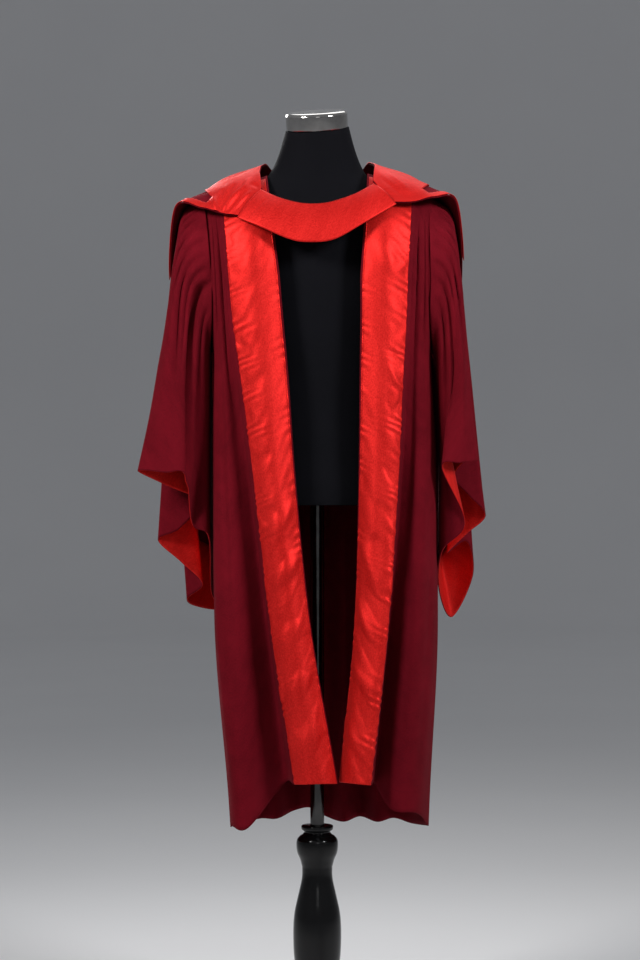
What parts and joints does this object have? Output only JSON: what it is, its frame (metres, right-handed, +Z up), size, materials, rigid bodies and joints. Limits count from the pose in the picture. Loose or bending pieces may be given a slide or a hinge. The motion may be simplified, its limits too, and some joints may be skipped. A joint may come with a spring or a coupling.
{
  "type": "graduation gown with hood on a dress form stand",
  "caption": "Open-fronted doctoral graduation gown in claret cloth with scarlet satin facings, bell sleeves and hood, worn by a limbless dress form on a turned stand.",
  "frame": {"origin": "centre of the stand base's underside, on the floor under the pole", "axes": "+Z up along the pole, -Y towards the gown's open front, +X to the wearer's left"},
  "size_m": [0.6197, 0.3956, 1.6734],
  "materials": {
    "claret_cloth": "matte fine wool-blend cloth",
    "scarlet_satin": "satin sheen",
    "black_jersey": "matte stretch jersey",
    "chrome": "polished",
    "black_lacquer": "gloss black lacquer"
  },
  "bodies": {
    "root": {"facing_left": "scarlet_satin", "facing_right": "scarlet_satin", "form_neck_cap": "chrome", "form_pole": "chrome", "form_torso": "black_jersey", "gown_back": "claret_cloth", "gown_front_left": "claret_cloth", "gown_front_right": "claret_cloth", "hood_cape_left": "claret_cloth", "hood_cape_right": "claret_cloth", "hood_neckband": "scarlet_satin", "hood_turnout": "scarlet_satin", "sleeve_left_back": "claret_cloth", "sleeve_left_front": "claret_cloth", "sleeve_lining_left": "scarlet_satin", "sleeve_lining_right": "scarlet_satin", "sleeve_right_back": "claret_cloth", "sleeve_right_front": "claret_cloth", "stand_base": "black_lacquer", "stand_column": "black_lacquer"}
  },
  "joints": []
}
